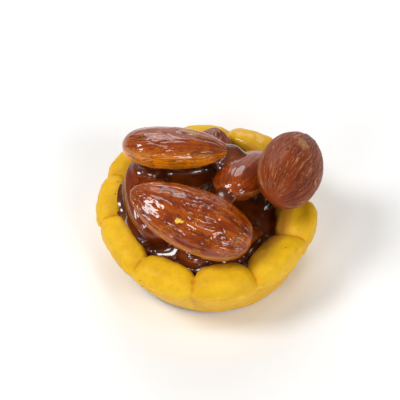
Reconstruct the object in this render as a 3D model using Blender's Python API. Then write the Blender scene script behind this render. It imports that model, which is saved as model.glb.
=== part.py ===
"""Almond tartlet of one or two bites: a small shortcrust shell with a thick pinched rim, set caramel in its
hollow, and whole roasted almonds heaped on the caramel.

+Z is up and +Y is away from the side that the tartlet is seen from. The origin is on the flat underside,
below the middle of the rim. Lengths are in metres, written as millimetres times MM.
"""

from math import atan2, copysign, cos, exp, pi, radians, remainder, sin, sqrt, tau

import bmesh
import bpy
from mathutils import Vector

MM = 0.001
GAP = 0.3 * MM  # clear space between pieces that touch
UP = Vector((0.0, 0.0, 1.0))

# ---------------------------------------------------------------- shell
BASE_RADIUS = 16.5 * MM
BASE_SHIFT = 0.6 * MM  # the hand-pressed base is a little off the middle of the rim
BASE_FILLET = 1.6 * MM
FLOOR_RADIUS = 10.8 * MM
FLOOR_HEIGHT = 3.0 * MM
FLOOR_FILLET = 1.4 * MM

# The rolled rim, as an upright rounded box that is swept round. It is fat in the middle of a lobe and thin
# at the crease between two lobes. A squareness of 2 is an ellipse, and more is nearer to a box.
ROLL_RADIUS = 17.7 * MM  # from the tartlet's axis to the middle of the roll
LOBE_ROLL = {
    "height": 10.1 * MM,
    "outer_width": 2.5 * MM,
    "inner_width": 2.6 * MM,
    "half_height": 2.75 * MM,
    "squareness": 2.9,
}
CREASE_ROLL = {
    "height": 9.5 * MM,
    "outer_width": 2.0 * MM,
    "inner_width": 1.4 * MM,
    "half_height": 1.7 * MM,
    "squareness": 2.0,
}
ROLL_OUTER_ANGLE = radians(-38)
ROLL_INNER_ANGLE = radians(212)
ROLL_SLOPE = -0.18  # the rim's top falls outward, apart from the thick side
THICK_SIDE_SLOPE = 0.3

# Each lobe, anticlockwise from the one at the right: its width in degrees, and how much further out, higher
# and wider inward than an even rim it was pinched.
FIRST_CREASE_DEG = 4.5
LOBES = (
    (38.5, 0.0 * MM, 1.1 * MM, 0.0 * MM),
    (35.0, 0.2 * MM, 0.4 * MM, 0.0 * MM),
    (32.0, 0.0 * MM, 0.0 * MM, 0.0 * MM),
    (25.0, 0.0 * MM, 0.2 * MM, 0.0 * MM),
    (21.5, 0.8 * MM, 0.3 * MM, 0.0 * MM),
    (31.5, 0.4 * MM, 0.1 * MM, 0.0 * MM),
    (39.0, -0.1 * MM, 0.0 * MM, 0.1 * MM),
    (34.5, 0.2 * MM, 0.0 * MM, 0.7 * MM),
    (35.0, 0.0 * MM, 0.1 * MM, 0.9 * MM),
    (39.0, -0.4 * MM, 0.0 * MM, 0.3 * MM),
    (29.0, 0.0 * MM, 0.1 * MM, 0.0 * MM),
)
LOBE_SQUARENESS = 3.2  # 2 makes a lobe's run from crease to crease half an ellipse, and more is fuller

# A thumb left a deeper dent at one crease.
DENT_AZIMUTH = radians(6)
DENT_HALF_WIDTH = radians(7)
DENT_DEPTH = 1.4 * MM

# The hollow's wall is thicker on one side, where the dough was pressed up less.
THICK_SIDE_EXTRA = 2.6 * MM
THICK_SIDE_AZIMUTH = radians(-8)

STEPS_PER_LOBE = 8
ROLL_STEPS = 12
WALL_STEPS = 3
FILLET_STEPS = 3
FILLET_TURN = radians(72)
ROLL_INSIDE_STEPS = 3
HOLLOW_POINTS = ROLL_INSIDE_STEPS + WALL_STEPS + FILLET_STEPS  # the outline's last points, down to the floor
SHARP = radians(50)  # edges that turn more than this stay crisp

# ---------------------------------------------------------------- caramel
CARAMEL_EDGE_LEVEL = 8.4 * MM
CARAMEL_CROWN = 1.8 * MM  # how much higher it stands in the middle, among the nuts
CARAMEL_STEPS = 6
CROWN_RINGS = 3
CARAMEL_CLEARANCE = 0.5 * MM  # moved in and up by this, it keeps the gap from the shell's sloping hollow
WELD = 0.03 * MM  # slivers that carving leaves are closed up

# ---------------------------------------------------------------- almonds
NUTS_IN_CARAMEL = ("almond_low", "almond_left", "almond_back")
NUT_SEGMENTS = 20
NUT_RINGS = 13
KEEL = 1.1  # over 1 gives the cross-section a slight edge all round
BLUNT_END = 2.6  # over 2 makes the wide end fuller than an ellipse's
POINTED_END = 0.05  # over 0 makes the other end leaner than an ellipse's

# Size is length, width and thickness, and middle is where the nut's centre lies, both in millimetres.
# Taper is how much leaner the pointed half is. Turn is heading, rise and roll in degrees: heading is where
# the pointed end looks, anticlockwise from +X, rise lifts that end, and roll turns the nut about its length.
ALMONDS = {
    "almond_front": {
        "size": (23.8, 12.9, 7.9),
        "taper": 0.1,
        "middle": (-3.19, -8.37, 18.05),
        "turn": (157.1, 11.0, -4.0),
    },
    "almond_top": {
        "size": (20.0, 12.1, 7.6),
        "taper": 0.11,
        "middle": (-5.79, 7.14, 19.33),
        "turn": (1.0, -6.0, -30.8),
    },
    "almond_right": {
        "size": (20.6, 12.3, 7.1),
        "taper": -0.02,
        "middle": (15.1, 2.56, 18.9),
        "turn": (68.3, -11.9, 30.4),
    },
    "almond_middle": {
        "size": (16.5, 9.7, 6.8),
        "taper": 0.06,
        "middle": (6.98, 4.1, 15.6),
        "turn": (61.7, -17.6, -7.7),
    },
    "almond_left": {
        "size": (19.4, 11.9, 7.2),
        "taper": 0.1,
        "middle": (-10.3, 0.3, 12.75),
        "turn": (102.6, 5.6, 35.3),
    },
    "almond_low": {
        "size": (18.1, 11.6, 6.9),
        "taper": 0.01,
        "middle": (2.17, -6.74, 8.87),
        "turn": (32.1, -8.0, -22.8),
    },
    "almond_back": {
        "size": (19.9, 11.3, 7.3),
        "taper": 0.06,
        "middle": (-0.35, 7.5, 10.5),
        "turn": (77.0, 28.2, 1.7),
    },
}


def main():
    for old in list(bpy.data.objects):
        bpy.data.objects.remove(old)
    tart = bpy.data.objects.new("almond_tart", None)
    bpy.context.scene.collection.objects.link(tart)
    make_shell(tart)
    make_caramel(tart)
    for name, facts in ALMONDS.items():
        make_nut(name, facts, tart)


# ---------------------------------------------------------------- helpers
def material(name, colour, roughness):
    made = bpy.data.materials.new(name)
    made.use_nodes = True
    surface = made.node_tree.nodes["Principled BSDF"]
    surface.inputs["Base Color"].default_value = (*colour, 1.0)
    surface.inputs["Roughness"].default_value = roughness
    surface.inputs["Metallic"].default_value = 0.0
    return made


def new_object(name, mesh, parent):
    made = bpy.data.objects.new(name, mesh)
    made.parent = parent
    bpy.context.scene.collection.objects.link(made)
    return made


def finished_mesh(name, body):
    """A mesh of a built body, with its faces turned outward and its round faces smooth."""
    body.normal_update()
    bmesh.ops.recalc_face_normals(body, faces=body.faces)
    mesh = bpy.data.meshes.new(name)
    body.to_mesh(mesh)
    body.free()
    mesh.shade_smooth()
    mesh.set_sharp_from_angle(angle=SHARP)
    return mesh


def mix(a, b, share):
    return a + (b - a) * share


def squared(wave, squareness):
    """A cosine or sine, held nearer to its ends, so that it draws a rounded box instead of an ellipse."""
    return copysign(abs(wave) ** (2 / squareness), wave)


# ---------------------------------------------------------------- shell
def rim_stations():
    """Every angle at which the shell's outline is placed, with its lobe's bulge there (0 at a crease, 1 in
    the middle), reach, lift and extra width."""
    stations = []
    start = FIRST_CREASE_DEG
    for width, reach, lift, extra in LOBES:
        for step in range(STEPS_PER_LOBE):
            across = (1 - cos(pi * step / STEPS_PER_LOBE)) / 2  # closer together near a crease
            bulge = sqrt(1 - abs(2 * across - 1) ** LOBE_SQUARENESS)
            stations.append((radians(start + width * across), bulge, reach, lift, extra))
        start += width
    return stations


def shell_outline(angle, bulge, reach, lift, extra):
    """The shell's section at one angle as (radius, height), from underneath, up the outside, over the rim
    and down to the floor."""
    size = {key: mix(CREASE_ROLL[key], LOBE_ROLL[key], bulge) for key in LOBE_ROLL}
    on_thick_side = max(0.0, cos(angle - THICK_SIDE_AZIMUTH)) ** 2
    thicker = THICK_SIDE_EXTRA * on_thick_side
    slope = mix(ROLL_SLOPE, THICK_SIDE_SLOPE, on_thick_side)
    inner_width = size["inner_width"] + extra * bulge + thicker
    roll = []
    for step in range(ROLL_STEPS):
        turn = mix(ROLL_OUTER_ANGLE, ROLL_INNER_ANGLE, step / (ROLL_STEPS - 1))
        side = size["outer_width"] if cos(turn) > 0 else inner_width
        out = side * squared(cos(turn), size["squareness"])
        up = size["half_height"] * squared(sin(turn), size["squareness"])
        radius = ROLL_RADIUS + reach * bulge - dent(angle) + out
        roll.append((radius, size["height"] + lift * bulge + up + slope * out))
    foot = fillet(BASE_RADIUS, BASE_FILLET, 0.0)
    floor = fillet(FLOOR_RADIUS - thicker, FLOOR_FILLET, FLOOR_HEIGHT)[::-1]
    outside = foot + between(foot[-1], roll[0])
    inside = between(roll[-1], floor[0]) + floor
    return outside + roll + inside


def dent(angle):
    away = remainder(angle - DENT_AZIMUTH, tau) / DENT_HALF_WIDTH
    return DENT_DEPTH * exp(-away ** 2)


def fillet(radius, size, height):
    """A rounded corner from a flat round face up into a wall."""
    turns = [FILLET_TURN * step / (FILLET_STEPS - 1) for step in range(FILLET_STEPS)]
    return [(radius - size + size * sin(turn), height + size * (1 - cos(turn))) for turn in turns]


def between(low, high):
    """Points of a straight stretch of wall, without its two ends."""
    return [
        (mix(low[0], high[0], step / WALL_STEPS), mix(low[1], high[1], step / WALL_STEPS))
        for step in range(1, WALL_STEPS)
    ]


def make_shell(tart):
    body = bmesh.new()
    rings = []
    for station in rim_stations():
        angle = station[0]
        ring = []
        for radius, height in shell_outline(*station):
            shift = BASE_SHIFT * max(0.0, 1 - height / LOBE_ROLL["height"])
            ring.append(body.verts.new((radius * cos(angle) + shift, radius * sin(angle), height)))
        rings.append(ring)
    for ring, following in zip(rings, rings[1:] + rings[:1]):
        for step in range(len(ring) - 1):
            body.faces.new((ring[step], following[step], following[step + 1], ring[step + 1]))
    body.faces.new([ring[0] for ring in reversed(rings)])
    body.faces.new([ring[-1] for ring in rings])
    shell = new_object("shell", finished_mesh("shell", body), tart)
    shell.data.materials.append(material("baked shortcrust", (0.84, 0.49, 0.03), 0.55))


# ---------------------------------------------------------------- caramel
def hollow_outline(station):
    """The section of the hollow at one angle, from the floor up, drawn in by the caramel's clearance."""
    return [
        (radius - CARAMEL_CLEARANCE, height + CARAMEL_CLEARANCE)
        for radius, height in reversed(shell_outline(*station)[-HOLLOW_POINTS:])
    ]


def caramel_outline(hollows):
    """The caramel's section as (radius, height), from the floor up the wall to the edge of its top. It keeps
    inside the hollow at its own angle and at the next one on each side."""
    outline = []
    for step in range(CARAMEL_STEPS + 1):
        level = mix(hollows[0][0][1], CARAMEL_EDGE_LEVEL, step / CARAMEL_STEPS)
        outline.append((min(radius_at(hollow, level) for hollow in hollows), level))
    return outline


def radius_at(outline, level):
    """How far out an outline that rises from point to point is at a height."""
    for low, high in zip(outline, outline[1:]):
        if level <= high[1]:
            return mix(low[0], high[0], (level - low[1]) / (high[1] - low[1]))
    return outline[-1][0]


def make_caramel(tart):
    body = bmesh.new()
    rings = []
    stations = rim_stations()
    hollows = [hollow_outline(station) for station in stations]
    for i, station in enumerate(stations):
        angle = station[0]
        outline = caramel_outline((hollows[i - 1], hollows[i], hollows[(i + 1) % len(hollows)]))
        edge = outline[-1][0]
        for step in range(1, CROWN_RINGS):
            share = 1 - step / CROWN_RINGS
            outline.append((edge * share, CARAMEL_EDGE_LEVEL + CARAMEL_CROWN * (1 - share ** 2)))
        across = Vector((cos(angle), sin(angle), 0.0))
        rings.append([body.verts.new(across * radius + UP * height) for radius, height in outline])
    top = body.verts.new(UP * (CARAMEL_EDGE_LEVEL + CARAMEL_CROWN))
    for ring, following in zip(rings, rings[1:] + rings[:1]):
        for step in range(len(ring) - 1):
            body.faces.new((ring[step], following[step], following[step + 1], ring[step + 1]))
        body.faces.new((ring[-1], following[-1], top))
    body.faces.new([ring[0] for ring in reversed(rings)])
    caramel = new_object("caramel", finished_mesh("caramel", body), tart)
    caramel.data.materials.append(material("dark caramel", (0.15, 0.045, 0.01), 0.12))
    for name in NUTS_IN_CARAMEL:
        carve(caramel, name)
    weld = caramel.modifiers.new("weld", "WELD")
    weld.merge_threshold = WELD


def carve(caramel, name):
    """Leave a nut's room in the caramel, with the gap all round it."""
    room_name = name + "_room"
    facts = ALMONDS[name]
    room = new_object(room_name, nut_mesh(room_name, facts, GAP), caramel.parent)
    place_nut(room, facts)
    room.display_type = "WIRE"
    room.hide_render = True
    cut = caramel.modifiers.new(room_name, "BOOLEAN")
    cut.operation = "DIFFERENCE"
    cut.solver = "EXACT"
    cut.object = room


# ---------------------------------------------------------------- almonds
def nut_girth(along, taper):
    """How wide a nut is at a place along its length, from -1 at the blunt end to 1 at the pointed end, as a
    share of its full width."""
    power = BLUNT_END if along < 0 else 2
    rounded = sqrt(max(0.0, 1 - abs(along) ** power))
    return rounded * max(0.0, 1 - along ** 2) ** (POINTED_END * (1 + along)) * (1 - taper * along)


def nut_mesh(name, facts, extra=0.0):
    """A nut lying flat with its pointed end along +X. extra thickens it all round."""
    length, width, thickness = (side * MM / 2 + extra for side in facts["size"])
    body = bmesh.new()
    bmesh.ops.create_uvsphere(body, u_segments=NUT_SEGMENTS, v_segments=NUT_RINGS, radius=1.0)
    for vert in body.verts:
        along = max(-1.0, min(1.0, vert.co.z))
        turn = atan2(vert.co.y, vert.co.x)
        girth = nut_girth(along, facts["taper"])
        vert.co = (
            length * along,
            width * girth * copysign(abs(cos(turn)) ** KEEL, cos(turn)),
            thickness * girth * copysign(abs(sin(turn)) ** KEEL, sin(turn)),
        )
    return finished_mesh(name, body)


def place_nut(nut, facts):
    heading, rise, roll = (radians(angle) for angle in facts["turn"])
    nut.location = Vector(facts["middle"]) * MM
    nut.rotation_euler = (roll, -rise, heading)


def make_nut(name, facts, tart):
    nut = new_object(name, nut_mesh(name, facts), tart)
    place_nut(nut, facts)
    nut.data.materials.append(material(name + " skin", (0.22, 0.06, 0.015), 0.3))


if __name__ == "__main__":
    main()
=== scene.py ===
# %% [markdown]
# # An almond tartlet
#
# A bite-sized tart: a thick shortcrust shell whose rim is pinched into lobes, dark caramel set in its hollow,
# and seven whole almonds under a wet honey glaze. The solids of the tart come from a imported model, which is
# loaded first and never moved. Each of them is then replaced with a fine piece of the same form and place.

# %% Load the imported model
from math import cos, radians, sin

import bpy
import numpy as np
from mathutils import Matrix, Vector


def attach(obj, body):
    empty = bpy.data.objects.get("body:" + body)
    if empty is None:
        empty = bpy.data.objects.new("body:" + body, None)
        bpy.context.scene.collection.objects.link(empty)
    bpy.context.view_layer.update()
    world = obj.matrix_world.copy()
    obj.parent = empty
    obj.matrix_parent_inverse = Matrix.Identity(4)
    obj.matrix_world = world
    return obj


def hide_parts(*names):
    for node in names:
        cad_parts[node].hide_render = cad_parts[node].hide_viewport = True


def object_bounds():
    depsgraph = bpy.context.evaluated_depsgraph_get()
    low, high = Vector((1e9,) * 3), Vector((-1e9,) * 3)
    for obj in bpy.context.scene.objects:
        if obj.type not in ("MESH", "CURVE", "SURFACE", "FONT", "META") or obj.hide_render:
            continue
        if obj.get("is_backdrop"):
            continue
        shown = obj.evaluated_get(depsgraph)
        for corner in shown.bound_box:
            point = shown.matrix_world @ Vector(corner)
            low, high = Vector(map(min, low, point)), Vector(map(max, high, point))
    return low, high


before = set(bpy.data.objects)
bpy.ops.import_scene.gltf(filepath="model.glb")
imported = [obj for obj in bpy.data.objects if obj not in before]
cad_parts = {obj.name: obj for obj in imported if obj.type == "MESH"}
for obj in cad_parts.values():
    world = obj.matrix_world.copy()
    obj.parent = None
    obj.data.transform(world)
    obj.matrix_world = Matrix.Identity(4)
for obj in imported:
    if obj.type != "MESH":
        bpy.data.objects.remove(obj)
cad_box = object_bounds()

MM = 0.001
print("solids:", sorted(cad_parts))

# %% [markdown]
# ## Tools for picking and finishing
#
# An operator works on what is selected, just as in the window. Loading leaves the solids selected, so every
# step picks its own piece first. A modifier is applied as soon as it is set up, so that the piece is a plain
# mesh.

# %% Pick a piece, apply a modifier
def pick(*pieces):
    """Select these pieces and nothing else. The last one becomes the active one."""
    bpy.ops.object.select_all(action="DESELECT")
    for piece in pieces:
        piece.select_set(True)
    bpy.context.view_layer.objects.active = pieces[-1]


def finish_with(piece, kind, **settings):
    """Add a modifier to a piece and apply it."""
    modifier = piece.modifiers.new(kind.lower(), kind)
    for name, value in settings.items():
        setattr(modifier, name, value)
    pick(piece)
    bpy.ops.object.modifier_apply(modifier=modifier.name)


def count(piece):
    """How many triangles a piece has. A face with n corners makes n - 2 of them."""
    return sum(len(face.vertices) - 2 for face in piece.data.polygons)


# %% [markdown]
# ## Node trees written as sums
#
# A material's pattern is arithmetic on numbers that change over the surface. Wiring each Math node by hand
# hides the formula, so a small class wraps a node's output and lets Python's own + - * / build the nodes. The
# same class works in a Geometry Nodes tree, so one formula can both raise a ridge in the mesh and tint it in
# the material.

# %% Sockets that can be added and multiplied
class Socket:
    """A node's output. Each operator adds a Math node and gives back its output."""

    def __init__(self, graph, output):
        self.graph = graph
        self.output = output

    def __add__(self, other):
        return self.graph.math("ADD", self, other)

    def __sub__(self, other):
        return self.graph.math("SUBTRACT", self, other)

    def __rsub__(self, other):
        return self.graph.math("SUBTRACT", other, self)

    def __mul__(self, other):
        return self.graph.math("MULTIPLY", self, other)

    def __truediv__(self, other):
        return self.graph.math("DIVIDE", self, other)

    def __rtruediv__(self, other):
        return self.graph.math("DIVIDE", other, self)

    def __abs__(self):
        return self.graph.math("ABSOLUTE", self)

    __radd__ = __add__
    __rmul__ = __mul__


# %% Node trees, for materials and for meshes
class Graph:
    """A node tree that is filled in by calls."""

    def __init__(self, tree):
        self.tree = tree
        tree.nodes.clear()

    def node(self, kind, settings=None, sockets=None, output=0):
        """Add a node, set it up, then set or link its inputs. It gives back one of the node's outputs."""
        made = self.tree.nodes.new(kind)
        for name, value in (settings or {}).items():
            setattr(made, name, value)
        for name, value in (sockets or {}).items():
            if isinstance(value, Socket):
                self.tree.links.new(value.output, made.inputs[name])
            else:
                made.inputs[name].default_value = value
        return Socket(self, made.outputs[output]) if made.outputs else made

    def math(self, operation, *values):
        return self.node("ShaderNodeMath", {"operation": operation}, dict(enumerate(values)))

    def highest(self, first, *others):
        for other in others:
            first = self.math("MAXIMUM", first, other)
        return first

    def vector(self, operation, *values, output="Vector"):
        settings = {"operation": operation}
        return self.node("ShaderNodeVectorMath", settings, dict(enumerate(values)), output)

    def dot(self, first, second):
        return self.vector("DOT_PRODUCT", first, second, output="Value")

    def distance(self, first, second):
        return self.vector("DISTANCE", first, second, output="Value")

    def scaled(self, vector, share):
        return self.node("ShaderNodeVectorMath", {"operation": "SCALE"}, {0: vector, "Scale": share})

    def in_mm(self, place):
        return self.scaled(place, 1 / MM)

    def combine(self, x, y, z):
        return self.node("ShaderNodeCombineXYZ", None, {0: x, 1: y, 2: z})

    def rise(self, value, low, high):
        """0 below low, 1 above high, and a smooth climb between. With low above high it falls instead."""
        settings = {"interpolation_type": "SMOOTHSTEP"}
        return self.node("ShaderNodeMapRange", settings, {"Value": value, "From Min": low, "From Max": high})

    def noise(self, place, scale, detail=2.0, roughness=0.5, output=0):
        sockets = {"Vector": place, "Scale": scale, "Detail": detail, "Roughness": roughness}
        return self.node("ShaderNodeTexNoise", None, sockets, output)

    def dots(self, place, scale):
        """How far a place is from the nearest of many scattered points."""
        return self.node("ShaderNodeTexVoronoi", None, {"Vector": place, "Scale": scale}, "Distance")

    def blend(self, share, first, second):
        """Two colours mixed. A Mix node has sockets for each kind of data, and 6 and 7 are its colours."""
        settings = {"data_type": "RGBA", "clamp_factor": True}
        return self.node("ShaderNodeMix", settings, {0: share, 6: first, 7: second}, 2)


def colour(red, green, blue):
    """A colour as read on a screen, from 0 to 255, as the linear values that Blender works in."""
    shares = [value / 255 for value in (red, green, blue)]
    return (*(((c + 0.055) / 1.055) ** 2.4 if c > 0.04 else c / 12.92 for c in shares), 1.0)


# %% [markdown]
# ## Relief through Geometry Nodes
#
# Grooves and crumb could be bump alone, in the material, but then the outline stays smooth and the mesh that
# is exported has none of them. So a height in millimetres is worked out at every point, and the point is moved
# along its normal. The tree is a modifier like any other, and is applied.

# %% Move every point along its normal
def geometry_graph(name):
    tree = bpy.data.node_groups.new(name, "GeometryNodeTree")
    for way in ("INPUT", "OUTPUT"):
        tree.interface.new_socket("Geometry", in_out=way, socket_type="NodeSocketGeometry")
    return Graph(tree)


def raise_surface(piece, height_of, cavity_blur=0):
    """Move a piece's points out by height_of(graph, place), which gives millimetres. With cavity_blur, also
    keep how hollow the surface is at each point as the attribute "cavity", in millimetres."""
    graph = geometry_graph(piece.name + "_relief")
    mesh = graph.node("NodeGroupInput")
    place = graph.node("GeometryNodeInputPosition")
    normal = graph.node("GeometryNodeInputNormal")
    offset = graph.scaled(normal, height_of(graph, place) * MM)
    mesh = graph.node("GeometryNodeSetPosition", None, {"Geometry": mesh, "Offset": offset})
    if cavity_blur:
        settings = {"data_type": "FLOAT_VECTOR"}
        sockets = {"Value": place, "Iterations": cavity_blur}
        blurred = graph.node("GeometryNodeBlurAttribute", settings, sockets)
        hollow = graph.dot(graph.vector("SUBTRACT", blurred, place), normal) / MM
        settings = {"data_type": "FLOAT", "domain": "POINT"}
        sockets = {"Geometry": mesh, "Name": "cavity", "Value": hollow}
        mesh = graph.node("GeometryNodeStoreNamedAttribute", settings, sockets)
    graph.node("NodeGroupOutput", None, {"Geometry": mesh})
    finish_with(piece, "NODES", node_group=graph.tree)
    bpy.data.node_groups.remove(graph.tree)


# %% [markdown]
# ## Starting from the solids
#
# The solids have the right form but few faces. A copy is merged, because its triangles are loose, and turned
# back into quads, which a Subdivision Surface rounds more evenly than triangles.

# %% Copy a solid and round it
MERGE = 0.004 * MM


def start_from(node, name, levels):
    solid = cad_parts[node]
    piece = bpy.data.objects.new(name, solid.data.copy())
    bpy.context.scene.collection.objects.link(piece)
    piece.data.materials.clear()
    pick(piece)
    bpy.ops.object.mode_set(mode="EDIT")
    bpy.ops.mesh.select_all(action="SELECT")
    bpy.ops.mesh.remove_doubles(threshold=MERGE)
    bpy.ops.mesh.tris_convert_to_quads()
    bpy.ops.object.mode_set(mode="OBJECT")
    if levels:
        finish_with(piece, "SUBSURF", levels=levels, render_levels=levels)
    bpy.ops.object.shade_smooth()
    return piece


def dress(piece, material, slot, *nodes):
    """Give a piece its material, put it under the root and hide the solids that it stands for. slot is not
    used.
    """
    piece.data.materials.clear()
    piece.data.materials.append(material)
    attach(piece, "root")
    if nodes:
        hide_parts(*nodes)
    print(piece.name, count(piece), "triangles")


# %% [markdown]
# ## How each nut lies
#
# An almond's grooves run from end to end and draw together at its tips, so the pattern needs the nut's own
# axes. They are measured on the solid: the directions in which its points spread most, second most and least
# are its length, width and thickness.

# %% Measure the nuts
def measure_nut(node):
    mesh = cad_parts[node].data
    points = np.array([corner.co for corner in mesh.vertices])
    axes = np.linalg.svd(points - points.mean(0), full_matrices=False)[2]
    spread = (points - points.mean(0)) @ axes.T
    low, high = spread.min(0), spread.max(0)
    middle = points.mean(0) + (low + high) / 2 @ axes
    length, _, thickness = axes
    # The length runs towards the end with more of the points, and the thickness upwards.
    if np.mean(spread[:, 0]) < (low + high)[0] / 2:
        length = -length
    if thickness[2] < 0:
        thickness = -thickness
    width = np.cross(thickness, length)
    return {
        "middle": Vector(middle),
        "axes": [Vector(length), Vector(width), Vector(thickness)],
        "half": [float(side) for side in (high - low) / 2],
    }


NUT_NODES = sorted(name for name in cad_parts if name.startswith("almond_"))
NUTS = {node: measure_nut(node) for node in NUT_NODES}
for node, nut in NUTS.items():
    print(node, [round(2 * side / MM, 1) for side in nut["half"]], "mm")

# %% [markdown]
# ## The almonds' grooves
#
# A place on a nut is turned into the nut's own coordinates. The direction away from its long axis, as a point
# on a circle, is the same all along a groove, so noise read there and only slowly along the length gives
# streaks that run from tip to tip. A little warp keeps them from being ruled lines, and makes them fork and
# merge.

# %% A nut's own coordinates and its streaks
# The nut that leans out over the rim has hardly any glaze, and no caramel climbs up it.
LEANING_NUT = "almond_right"

# How deep a nut's folds and its wrinkles are in mm, how many there are, how much they wander sideways and
# change along the nut, how wide the pale lines between them are, and a seed for the pattern.
SKIN_VALUES = ("folds", "wrinkles", "number", "wander", "drift", "lines", "seed")
NUT_SKINS = {
    "almond_front": (0.4, 0.15, 2.4, 0.4, 0.34, 0.022, 1.3),
    "almond_top": (0.26, 0.07, 2.8, 0.3, 0.34, 0.022, 5.1),
    "almond_right": (0.22, 0.12, 3.2, 0.1, 0.17, 0.026, 9.2),
    "almond_middle": (0.14, 0.03, 2.2, 0.3, 0.34, 0.022, 13.4),
    "almond_left": (0.16, 0.04, 2.4, 0.3, 0.34, 0.022, 17.9),
    "almond_low": (0.2, 0.04, 2.0, 0.4, 0.34, 0.022, 21.5),
    "almond_back": (0.24, 0.03, 1.6, 0.3, 0.34, 0.022, 25.7),
}
for node, values in NUT_SKINS.items():
    NUTS[node].update(zip(SKIN_VALUES, values))
    print(node, "folds", NUTS[node]["folds"], "mm, wrinkles", NUTS[node]["wrinkles"], "mm")


def nut_coordinates(graph, place, nut):
    """Along, across and up in the nut's own frame, each from -1 to 1."""
    away = graph.vector("SUBTRACT", place, nut["middle"])
    return [graph.dot(away, axis) / half for axis, half in zip(nut["axes"], nut["half"])]


def nut_streaks(graph, place, nut):
    """The place to read noise at, so that it is drawn out from tip to tip."""
    along, across, up = nut_coordinates(graph, place, nut)
    ring = graph.vector("NORMALIZE", graph.combine(0.0, across, up))
    drift = graph.combine(along * nut["drift"] + nut["seed"], 0.0, 0.0)
    wander = graph.noise(graph.in_mm(place), 0.22, output="Color")
    warp = graph.scaled(graph.vector("SUBTRACT", wander, (0.5, 0.5, 0.5)), nut["wander"])
    return graph.vector("ADD", graph.vector("ADD", ring, drift), warp)


# %% The pattern and the height that it gives
TIP = 0.99  # how far along the nut the pattern has faded out, before its lines crowd together
KEEL_HEIGHT = 0.08  # mm


def line(graph, value, width):
    """1 where a noise crosses its middle value, and 0 further off: a thin wandering line."""
    return graph.rise(abs(value - 0.5), width, 0.0)


def nut_pattern(graph, place, nut):
    """Broad folds from 0 to 1, the thin grooves between them, the wrinkles, the keel round the nut's edge,
    and how clear a place is of the two tips."""
    streaks = nut_streaks(graph, place, nut)
    folds = graph.noise(streaks, nut["number"], 1.0)
    grooves = line(graph, graph.noise(streaks, nut["number"] * 1.9, 1.0), 0.05)
    wrinkles = graph.noise(streaks, nut["number"] * 2.6, 2.0, 0.6)
    along, _, up = nut_coordinates(graph, place, nut)
    keel = graph.rise(abs(up - 0.05), 0.14, 0.0)
    clear = graph.rise(abs(along), TIP, TIP - 0.15)
    return folds, grooves * clear, wrinkles, keel * clear, clear


def nut_height(nut):
    def height_of(graph, place):
        folds, grooves, wrinkles, keel, clear = nut_pattern(graph, place, nut)
        puckers = graph.noise(graph.in_mm(place), 0.8) - 0.5
        relief = (folds - 0.5) * (nut["folds"] * 2.0) * clear - grooves * (nut["folds"] * 0.4)
        return relief + ((wrinkles - 0.5) * clear * 1.4 + puckers) * nut["wrinkles"] + keel * KEEL_HEIGHT

    return height_of


# %% [markdown]
# ## The almonds
#
# Each nut starts from its solid, so it keeps its place and size. Three levels of Subdivision Surface set the
# points close enough for grooves of a third of a millimetre. Sculpting could draw them too, but a formula
# gives the same nut each time.

# %% Model the almonds
NUT_LEVELS = 3

nuts = {}
for node, nut in NUTS.items():
    nuts[node] = start_from(node, node.replace("almond", "nut"), NUT_LEVELS)
    raise_surface(nuts[node], nut_height(nut))
    print(nuts[node].name, "has", count(nuts[node]), "triangles")

# %% [markdown]
# ## Almond skin under honey
#
# A roasted skin is red brown in its grooves and orange on its ridges, where the honey lies over it like
# varnish. The honey is the Coat of the Principled BSDF: a clear film with its own sharp highlight over a
# duller skin. A shell of glass round each nut would do the same, but it renders slowly and is lost in an
# export.

# %% The tints of each nut
# As read on a screen: the skin, its ridges, the ridges of its underside and the fine pale lines. The underside
# tints are partly painted light: on most nuts they are lighter than the skin, and much lighter on the top nut,
# whose lower front takes the light. Last, how much honey covers the nut.
NUT_TINTS = {
    "almond_front": ((130, 44, 1), (176, 78, 1), (178, 82, 2), (230, 148, 20), 1.0),
    "almond_top": ((142, 55, 5), (178, 82, 3), (226, 136, 14), (222, 140, 30), 1.0),
    "almond_right": ((120, 46, 16), (148, 66, 26), (140, 54, 0), (208, 138, 88), 0.12),
    "almond_middle": ((130, 44, 4), (168, 68, 2), (170, 82, 8), (190, 106, 26), 1.0),
    "almond_left": ((120, 41, 7), (152, 61, 12), (124, 46, 6), (160, 86, 34), 0.95),
    "almond_low": ((96, 34, 8), (146, 64, 10), (150, 66, 12), (176, 96, 30), 1.0),
    "almond_back": ((126, 59, 38), (162, 88, 62), (120, 56, 30), (168, 110, 84), 0.7),
}
GROOVE = colour(76, 24, 4)
# A painted glow on the lower front of this nut stands in for the light that reaches it there.
PAINTED_GLOW = {"almond_top": colour(196, 110, 14)}
PAINTED_GLOW_STRENGTH = 0.4
# Where nut paste has dried on a nut: the middle of the place and how far it reaches, in mm.
PASTE = {"almond_top": ((-3.4, 8.8, 22.0), 2.3), "almond_right": ((17.4, 6.5, 21.2), 1.7)}
PASTE_TINT = colour(176, 132, 84)
print("glaze:", {node: tints[-1] for node, tints in NUT_TINTS.items()})


# %% Almond material
def new_material(name):
    made = bpy.data.materials.new(name)
    made.use_nodes = True
    return made, Graph(made.node_tree)


def object_place(graph):
    """Where a point lies on the tart, in metres."""
    return graph.node("ShaderNodeTexCoord", None, None, "Object")


def surface(graph, constants, links, bump=None):
    """A Principled BSDF. bump is a height in mm that its Normal follows."""
    if bump is not None:
        sockets = {"Height": bump * MM, "Distance": 1.0, "Strength": 1.0}
        links = dict(links, Normal=graph.node("ShaderNodeBump", None, sockets))
    shader = graph.node("ShaderNodeBsdfPrincipled", None, {**constants, **links})
    graph.node("ShaderNodeOutputMaterial", None, {"Surface": shader})


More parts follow.
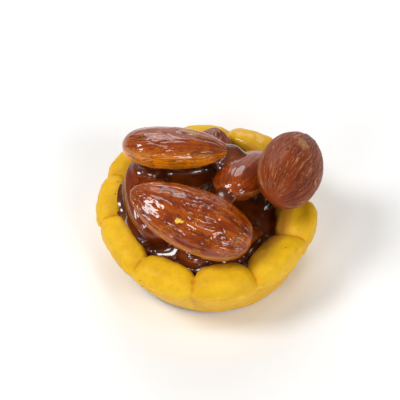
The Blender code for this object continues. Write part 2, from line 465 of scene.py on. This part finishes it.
def nut_underside(graph, place, node):
    """1 on a nut's underside. The nut that leans over the rim turns it to the left."""
    nut = NUTS[node]
    if node == LEANING_NUT:
        leftwards = graph.dot(graph.vector("SUBTRACT", nut["middle"], place), (1 / MM, 0.0, 0.0))
        return graph.rise(leftwards, -1.5, 4.5)
    return graph.rise(nut_coordinates(graph, place, nut)[2], 0.3, -0.35)


def nut_material(node):
    nut = NUTS[node]
    *tints, glaze = NUT_TINTS[node]
    skin_tint, ridge_tint, painted_underside_tint, line_tint = [colour(*tint) for tint in tints]
    material, graph = new_material(node + "_skin")
    place = object_place(graph)
    folds, grooves, wrinkles, keel, clear = nut_pattern(graph, place, nut)
    streaks = nut_streaks(graph, place, nut)
    hairs = graph.noise(streaks, nut["number"] * 8.0, 3.0, 0.65)
    mottle = graph.noise(graph.in_mm(place), 0.3, 3.0, 0.6)
    patches = graph.noise(graph.in_mm(place), 0.42)

    # High places take the ridge colour. The underside takes its own tint, which on most nuts is painted
    # light.
    low = nut_underside(graph, place, node)
    ridge_and_painted_underside = graph.blend(low, ridge_tint, painted_underside_tint)
    bright = graph.rise(folds * 0.6 + wrinkles * 0.5 + mottle * 0.6, 0.68, 1.0)
    tone = graph.blend(bright, graph.blend(low * 0.8, skin_tint, ridge_and_painted_underside), ridge_and_painted_underside)

    # Patches, furrows and hair lines are darker.
    patch_tint = graph.blend(0.5, skin_tint, GROOVE)
    tone = graph.blend(graph.rise(patches, 0.5, 0.66) * 0.55, tone, patch_tint)
    furrows = graph.rise(hairs, 0.5, 0.28) * 0.5 + graph.rise(folds, 0.42, 0.25) * 0.3
    dark = furrows * clear + grooves * 0.5
    tone = graph.blend(graph.math("MINIMUM", dark, 0.8), tone, GROOVE)

    # Fine lines are paler, and the keel is lightened as a painted highlight along the nut's edge. Honey hides
    # some of the lines.
    pale = line(graph, graph.noise(streaks, nut["number"] * 3.3), nut["lines"]) * clear
    pale = pale * graph.rise(mottle, 0.3 + 0.14 * glaze, 0.42 + 0.14 * glaze)
    tone = graph.blend(graph.highest(pale * 0.8, keel * 0.35), tone, line_tint)

    if node in PASTE:
        middle, reach = PASTE[node]
        apart = graph.distance(graph.in_mm(place), middle) + (hairs + patches - 1.0) * 3.0
        tone = graph.blend(graph.rise(apart, reach, reach * 0.3) * 0.7, tone, PASTE_TINT)
    links = {"Base Color": tone}
    constants = {"Roughness": 0.45, "Specular IOR Level": 0.16 - 0.1 * glaze}
    constants.update({"Coat Weight": glaze, "Coat Roughness": 0.03, "Coat IOR": 1.56})
    # Painted glow: the top nut's lower front is made to emit light in place of real light.
    if node in PAINTED_GLOW:
        nearer = graph.dot(graph.vector("SUBTRACT", nut["middle"], place), (0.0, 1 / MM, 0.0))
        painted_glow_mask = low * graph.rise(nearer, -1.0, 2.5) * (1.0 - dark * 1.2)
        links["Emission Color"] = graph.blend(painted_glow_mask, colour(0, 0, 0), PAINTED_GLOW[node])
        constants["Emission Strength"] = PAINTED_GLOW_STRENGTH
    surface(graph, constants, links, (hairs - 0.5) * 0.1 + pale * 0.05)
    return material


for node, piece in nuts.items():
    dress(piece, nut_material(node), "dry_almond" if node == LEANING_NUT else "almonds", node)

# %% [markdown]
# ## The crust
#
# Shortcrust is pressed by hand, so no face of it is quite flat, and its butter leaves it smooth with a fine
# grain. The solid has the lobes and the wall. A voxel remesh gives it small even faces, a little smoothing
# softens its edges as a thumb does, and a height adds lumps, dents, grain and the broken lip under the lobes.

# %% Delete loose bits
LEAST_FACES = 100


def without_bits(piece):
    """The piece without the tiny loose bits that a remesh or a Boolean leaves."""
    name = piece.name
    pick(piece)
    bpy.ops.mesh.separate(type="LOOSE")
    pieces = sorted(bpy.context.selected_objects, key=lambda part: len(part.data.polygons))
    parts = [part for part in pieces if len(part.data.polygons) >= LEAST_FACES]
    for bit in pieces[: len(pieces) - len(parts)]:
        bpy.data.objects.remove(bit)
    pick(*parts)
    if len(parts) > 1:
        bpy.ops.object.join()
    piece = parts[-1]
    piece.name = name
    print(name, "keeps", len(parts), "parts of", len(pieces))
    return piece


# %% Model the crust
CRUST_VOXEL = 0.24 * MM
CRUST_SMOOTHING = 14
CAVITY_BLUR = 24
LIP_HEIGHT = 9.7  # mm above the table, where the lobes end and the wall begins


def height_and_radius(graph, place):
    """How high a place is, and how far from the tart's middle line."""
    across = graph.vector("MULTIPLY", place, (1.0, 1.0, 0.0))
    return graph.dot(place, (0.0, 0.0, 1.0)), graph.vector("LENGTH", across, output="Value")


def crust_lip(graph, place):
    """1 along the edge where the pinched lobes end and the wall begins, and 0 further off."""
    height, radius = height_and_radius(graph, place)
    height = height + (graph.noise(place, 0.22) - 0.5) * 5.0
    broken = graph.rise(graph.noise(place, 0.3, 1.0), 0.4, 0.6)
    edge = graph.rise(abs(height - LIP_HEIGHT), 0.8, 0.0) * graph.rise(radius, 17.0, 18.4)
    return edge * (0.3 + broken * 0.7)


def crust_height(graph, place):
    place = graph.in_mm(place)
    above_foot = graph.rise(height_and_radius(graph, place)[0], 0.1, 1.5)
    lumps = graph.noise(place, 0.14, 1.0) - 0.5
    dents = graph.noise(place, 0.42, 1.0) - 0.5
    grain = graph.noise(place, 1.6) - 0.5
    return (lumps * 0.6 + dents * 0.4 + grain * 0.06 + crust_lip(graph, place) * 0.24) * above_foot


crust = start_from("shell", "crust", 0)
finish_with(crust, "REMESH", mode="VOXEL", voxel_size=CRUST_VOXEL)
crust = without_bits(crust)
finish_with(crust, "SMOOTH", iterations=CRUST_SMOOTHING, factor=0.5)
raise_surface(crust, crust_height, CAVITY_BLUR)
pick(crust)
bpy.ops.object.shade_smooth()
print("crust", [round(side / MM, 1) for side in crust.dimensions], "mm")

# %% [markdown]
# ## Baked dough
#
# The dough is golden yellow with a few specks, and the inner edge of the lobes is toasted. Its creases are
# darkened as painted shade and its lip is lightened as a painted highlight. Caramel has stained the inside of
# the wall, and honey has run over its right side and over a lobe at the back, where the crust shines. A painted
# texture would need an image, so the colours follow noise, the height, the distance from the middle and the
# cavity attribute.

# %% The tints of the crust
DOUGH, LIGHT_DOUGH = colour(224, 170, 21), colour(237, 187, 25)
DARK_FLECK, LIGHT_FLECK, SPECK = colour(206, 148, 16), colour(244, 200, 50), colour(110, 62, 20)
PAINTED_CREASE_SHADE, PAINTED_LIP_HIGHLIGHT, TOASTED = colour(200, 134, 0), colour(248, 208, 84), colour(204, 140, 34)
STAINED, FILMED, SMEARED = colour(84, 36, 8), colour(150, 90, 18), colour(214, 146, 4)
SMEAR = (6.8, 15.5, 12.5)  # the middle of the honey on a lobe at the back, in mm


# %% Crust material
def crust_material():
    material, graph = new_material("baked shortcrust")
    place = graph.in_mm(object_place(graph))
    cavity = graph.node("ShaderNodeAttribute", {"attribute_name": "cavity"}, None, "Fac")
    height, radius = height_and_radius(graph, place)

    # Uneven dough, with flecks about a millimetre apart.
    mottle = graph.noise(place, 0.25, 4.0, 0.6)
    fleck = graph.noise(place, 1.1, 3.0, 0.65)
    tone = graph.blend(graph.rise(mottle, 0.3, 0.7), DOUGH, LIGHT_DOUGH)
    tone = graph.blend(graph.rise(fleck, 0.5, 0.72) * 0.3, tone, DARK_FLECK)
    tone = graph.blend(graph.rise(fleck, 0.42, 0.28) * 0.3, tone, LIGHT_FLECK)

    # Painted shade darkens the creases and a painted highlight lightens the lip; then the toasted inner edge
    # and dark specks.
    tone = graph.blend(graph.rise(cavity, -0.02, 0.16) * 0.85, tone, PAINTED_CREASE_SHADE)
    # A painted highlight along the lip.
    lip_highlight = crust_lip(graph, place) * graph.rise(fleck, 0.45, 0.6)
    tone = graph.blend(lip_highlight * 0.5, tone, PAINTED_LIP_HIGHLIGHT)
    toast = graph.rise(radius + (fleck - 0.5) * 3.0, 16.6, 15.2) * graph.rise(height, 10.0, 12.0)
    tone = graph.blend(toast * graph.rise(mottle, 0.3, 0.5) * 0.7, tone, TOASTED)
    specks = graph.rise(graph.dots(place, 0.5), 0.11, 0.07) * graph.rise(graph.noise(place, 0.2), 0.48, 0.6)
    tone = graph.blend(specks * 0.8, tone, SPECK)

    # Caramel low on the inside, a film of honey at the right and a smear of it at the back.
    edge = (graph.noise(place, 0.35, 3.0) - 0.5) * 3.0
    stain = graph.rise(height + edge, 12.0, 8.6) * graph.rise(radius, 16.4, 15.4)
    tone = graph.blend(stain, tone, STAINED)
    at_right = graph.rise(graph.dot(place, (1.0, 0.0, 0.0)), 9.0, 12.5)
    film = graph.rise(radius + edge * 0.3, 16.0, 14.0) * at_right
    tone = graph.blend(film * (1.0 - stain) * 0.85, tone, FILMED)
    smear = graph.rise(graph.distance(place, SMEAR) + edge * 0.5, 5.2, 3.6)
    tone = graph.blend(smear * graph.rise(mottle, 0.4, 0.6) * 0.4, tone, SMEARED)

    links = {"Base Color": tone, "Coat Weight": graph.highest(stain, film * 0.6, smear * 0.36)}
    constants = {"Roughness": 0.5, "Specular IOR Level": 0.2, "Coat Roughness": 0.06}
    surface(graph, constants, links, graph.noise(place, 5.0, 3.0, 0.6) * 0.018)
    return material


dress(crust, crust_material(), "shell", "shell")

# %% [markdown]
# ## The caramel
#
# Sticky caramel fills the hollow and climbs into every corner where two nuts meet or a nut leans on the crust.
# That is the shape left when everything is swollen, fused and shrunk again: broad faces come back to where they
# were, and narrow corners stay filled. A plug keeps only what lies in the hollow and among the nuts. Last, the
# nuts and the crust are cut out of it.

# %% Discs and drops
# The plug, as stacked discs: middle x and y, radius, bottom and top, in mm.
PLUG_DISCS = (
    (0.0, 0.0, 15.6, 2.0, 9.5),
    (-2.0, 0.0, 14.4, 9.0, 12.6),
    (0.0, 0.0, 13.4, 11.0, 26.0),
)
# The plug reaches further at the left wall, as a drop: its middle and its half sizes, in mm.
PLUG_SIDE = (-15.2, 0.8, 12.0, 1.9, 4.2, 2.0)

# Flat puddles that show between the nuts: x and y of the top's middle, radius, bottom and top in mm. One
# is tilted, and faces this way.
PUDDLES = (
    (-8.4, -10.6, 3.0, 7.0, 9.7, (-0.33, -0.33, 0.88)),
    (-3.4, 6.6, 5.0, 9.0, 14.0),
    (-10.8, 9.8, 3.6, 6.0, 9.5),
)
# Honey that hangs between two nuts, as a drop: its middle and its half sizes, in mm.
BRIDGES = (
    (4.2, 7.2, 17.9, 2.5, 2.1, 1.9),
    (2.6, 5.6, 15.6, 1.6, 1.4, 1.6),
    (3.5, -2.2, 17.2, 2.3, 1.9, 2.0),
    (10.8, 2.3, 16.8, 1.7, 2.0, 1.7),
)


def disc(x, y, radius, bottom, top, facing=(0.0, 0.0, 1.0)):
    facing = Vector(facing)
    depth = top - bottom
    bpy.ops.object.select_all(action="DESELECT")
    bpy.ops.mesh.primitive_cylinder_add(
        vertices=96,
        radius=radius * MM,
        depth=depth * MM,
        location=(Vector((x, y, top)) - facing * depth / 2) * MM,
        rotation=facing.to_track_quat("Z", "Y").to_euler(),
    )
    return bpy.context.active_object


def drop(x, y, z, *half):
    middle = Vector((x, y, z)) * MM
    bpy.ops.object.select_all(action="DESELECT")
    bpy.ops.mesh.primitive_ico_sphere_add(subdivisions=4, radius=MM, location=middle, scale=half)
    return bpy.context.active_object


# %% Swell, fuse and shrink
CREEP = 0.9 * MM  # how wide a corner the caramel fills
SUNK = 0.22 * MM  # how far below the nuts' skins the shrunk surface ends
FUSE_VOXEL, FUSE_SMOOTHING = 0.3 * MM, 24
POOL_VOXEL, POOL_SMOOTHING = 0.26 * MM, 36

pool = start_from("caramel", "caramel_pool", 1)
cores = [start_from(node, node + "_core", 2) for node in NUT_NODES if node != LEANING_NUT]
honey = [disc(*size) for size in PUDDLES] + [drop(*size) for size in BRIDGES]
pick(start_from("shell", "shell_core", 1), *cores, *honey, pool)
bpy.ops.object.join()
finish_with(pool, "DISPLACE", strength=CREEP, mid_level=0.0)
finish_with(pool, "REMESH", mode="VOXEL", voxel_size=FUSE_VOXEL)
finish_with(pool, "SMOOTH", iterations=FUSE_SMOOTHING, factor=0.5)
finish_with(pool, "DISPLACE", strength=-CREEP - SUNK, mid_level=0.0)
finish_with(pool, "REMESH", mode="VOXEL", voxel_size=POOL_VOXEL)
finish_with(pool, "SMOOTH", iterations=POOL_SMOOTHING, factor=0.5)
print("everything fused:", count(pool), "triangles")


# %% Cut the caramel out
SHARP = radians(40.0)


def cut(piece, operation, other):
    finish_with(piece, "BOOLEAN", operation=operation, solver="MANIFOLD", object=other)


plug, *upper = [disc(*size) for size in PLUG_DISCS] + [drop(*PLUG_SIDE)]
for part in upper:
    cut(plug, "UNION", part)
cut(pool, "INTERSECT", plug)
for piece in (crust, *nuts.values()):
    cut(pool, "DIFFERENCE", piece)
for tool in (plug, *upper):
    bpy.data.objects.remove(tool)
pool = without_bits(pool)
pick(pool)
bpy.ops.object.shade_smooth_by_angle(angle=SHARP)
print("caramel", [round(side / MM, 1) for side in pool.dimensions], "mm")

# %% [markdown]
# ## Set caramel
#
# Caramel looks dark because light is lost inside it. Glass with a dark volume would show that, but it renders
# slowly and an export drops it, so a cloudy dark brown stands for the depth, and a Coat for the wet surface.

# %% Caramel material
DEEP_CARAMEL, SHALLOW_CARAMEL = colour(74, 26, 5), colour(116, 50, 10)


def caramel_material():
    material, graph = new_material("set caramel")
    cloud = graph.noise(graph.in_mm(object_place(graph)), 0.35, 3.0)
    tone = graph.blend(graph.rise(cloud, 0.35, 0.7), DEEP_CARAMEL, SHALLOW_CARAMEL)
    constants = {"Roughness": 0.3, "Specular IOR Level": 0.2}
    constants.update({"Coat Weight": 1.0, "Coat Roughness": 0.03, "Coat IOR": 1.6})
    surface(graph, constants, {"Base Color": tone})
    return material


dress(pool, caramel_material(), "caramel", "caramel")

# %% [markdown]
# ## Crumbs
#
# A few crumbs of crust and chips of nut lie on the honey and on the rim. Each is a small ball that noise makes
# angular, half sunk into what it lies on. Scattering them at random would be quicker, but these lie where the
# photograph shows them.

# %% Crumbs and chips
# Each crumb: where it lies and how large it is, in mm.
CRUST_CRUMBS = (
    (-5.3, -11.4, 21.0, 0.62),
    (-4.7, -11.6, 20.8, 0.4),
    (6.7, -18.8, 11.3, 0.24),
    (4.2, -19.0, 12.1, 0.2),
    (-5.7, -18.5, 12.0, 0.24),
    (7.4, -18.3, 11.6, 0.16),
    (-7.0, -17.9, 12.1, 0.18),
)
NUT_CHIPS = (
    (-4.7, 8.9, 22.2, 0.3),
    (-4.0, 8.3, 22.3, 0.34),
    (-3.3, 8.8, 22.0, 0.28),
    (-2.6, 8.5, 21.9, 0.32),
    (-2.1, 8.9, 21.7, 0.24),
    (17.2, 6.4, 21.2, 0.34),
    (19.2, -0.6, 18.4, 0.5),
    (16.6, 7.4, 21.0, 0.26),
)
CRUMB_SIDES = (1.0, 0.75, 0.5)  # as shares of its size


def crumb_height(graph, place):
    return (graph.noise(graph.in_mm(place), 2.4, 3.0) - 0.5) * 0.5


def crumb_material(name, dark_tint, light_tint):
    material, graph = new_material(name)
    grain = graph.noise(graph.in_mm(object_place(graph)), 3.0, 3.0)
    tone = graph.blend(graph.rise(grain, 0.4, 0.6), dark_tint, light_tint)
    surface(graph, {"Roughness": 0.5}, {"Base Color": tone}, grain * 0.1)
    return material


def crumbs(name, places, material, slot):
    made = []
    for i, (x, y, z, size) in enumerate(places):
        made.append(drop(x, y, z, 1.0, 1.0, 1.0))
        made[-1].rotation_euler = (0.7 * i, 1.9 * i, 2.3 * i)
        made[-1].scale = [size * share for share in CRUMB_SIDES]
    pick(*made)
    bpy.ops.object.join()
    piece = bpy.context.active_object
    piece.name = name
    bpy.ops.object.transform_apply()
    raise_surface(piece, crumb_height)
    pick(piece)
    bpy.ops.object.shade_smooth()
    dress(piece, material, slot)


crust_crumb = crumb_material("loose crust crumbs", colour(226, 172, 36), colour(250, 212, 96))
nut_chip = crumb_material("nut chips", colour(150, 92, 40), colour(206, 158, 92))
crumbs("crust_crumbs", CRUST_CRUMBS, crust_crumb, "shell")
crumbs("nut_chips", NUT_CHIPS, nut_chip, "dry_almond")

# %% [markdown]
# ## The table
#
# A plain pale table carries the tart and shows its soft shadow. It belongs to the stage, not to the tart.

# %% Table
TABLE_SIDE = 2.0  # m

bpy.ops.object.select_all(action="DESELECT")
bpy.ops.mesh.primitive_plane_add(size=TABLE_SIDE, location=(0.0, 0.0, 0.0))
table = bpy.context.active_object
table.name = "table"
table_material, table_graph = new_material("pale table")
surface(table_graph, {"Base Color": (0.95, 0.95, 0.95, 1.0), "Roughness": 0.6}, {})
table.data.materials.append(table_material)
table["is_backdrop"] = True
print("table", TABLE_SIDE, "m wide")

# %% [markdown]
# ## The light
#
# Eight softboxes stand round the tart. Honey mirrors each of them: the small ones at the left, in front and
# above are bright for their size and make its crisp highlights, while the large ones are dim, because a large
# bright light would lay a grey haze over the glaze. They only open the shadows and lighten the table.

# %% Lights
AIM = Vector((0.0, 0.0, 12.0)) * MM
WORLD_STRENGTH = 0.15

# Name, azimuth and elevation in degrees, distance and size in m, power in W. Azimuth 0 is on the viewer's
# side and 90 at the right.
SOFTBOXES = (
    ("left softbox", -84.0, 50.0, 0.5, 0.18, 1.4),
    ("front left softbox", -30.0, 38.0, 0.6, 0.11, 0.4),
    ("top softbox", 80.0, 81.0, 0.6, 0.1, 0.25),
    ("back softbox", 180.0, 38.0, 0.7, 0.34, 1.3),
    ("right softbox", 36.0, 42.0, 0.6, 0.18, 0.8),
    ("side softbox", 68.0, 24.0, 0.6, 0.25, 0.6),
    ("backdrop", 180.0, 14.0, 1.0, 0.9, 1.5),
    ("front fill", 15.0, 14.0, 0.9, 0.5, 0.9),
)


def softbox(name, azimuth, elevation, distance, size, power):
    """A square light aimed at the tart."""
    turn, tilt = radians(azimuth), radians(elevation)
    away = Vector((sin(turn) * cos(tilt), -cos(turn) * cos(tilt), sin(tilt)))
    bpy.ops.object.light_add(type="AREA", location=AIM + away * distance)
    light = bpy.context.active_object
    light.name = name
    light.rotation_euler = away.to_track_quat("Z", "Y").to_euler()
    light.data.size = size
    light.data.energy = power
    print(name, power, "W")


for row in SOFTBOXES:
    softbox(*row)

world = bpy.data.worlds.new("studio")
world.use_nodes = True
world.node_tree.nodes["Background"].inputs["Color"].default_value = (1.0, 1.0, 1.0, 1.0)
world.node_tree.nodes["Background"].inputs["Strength"].default_value = WORLD_STRENGTH
bpy.context.scene.world = world
bpy.context.scene.view_settings.view_transform = "Standard"

# %% [markdown]
# ## The camera
#
# The photograph looks down at the tart at about 50 degrees, from some way off through a long lens, so its
# front is hardly larger than its back.

# %% Camera
VIEW_ELEVATION = radians(50.0)
VIEW_DISTANCE = 380.0 * MM
VIEW_TARGET = Vector((-1.468, 1.406, 11.48)) * MM
LENS = 186.4

bpy.ops.object.camera_add()
camera = bpy.context.active_object
camera.location = VIEW_TARGET + Vector((0.0, -cos(VIEW_ELEVATION), sin(VIEW_ELEVATION))) * VIEW_DISTANCE
camera.rotation_euler = (radians(90.0) - VIEW_ELEVATION, 0.0, 0.0)
camera.data.lens = LENS
camera.data.clip_start = 0.01
bpy.context.scene.camera = camera
print("camera", [round(side, 3) for side in camera.location], "m")

# %% [markdown]
# ## Finish
#
# The size of the dressed tart is written beside that of the solids, to see that they agree.

# %% Sizes and finish
new_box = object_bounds()
for name, box in (("solids", cad_box), ("dressed", new_box)):
    print(name, [round((high - low) / MM, 2) for low, high in zip(*box)], "mm")
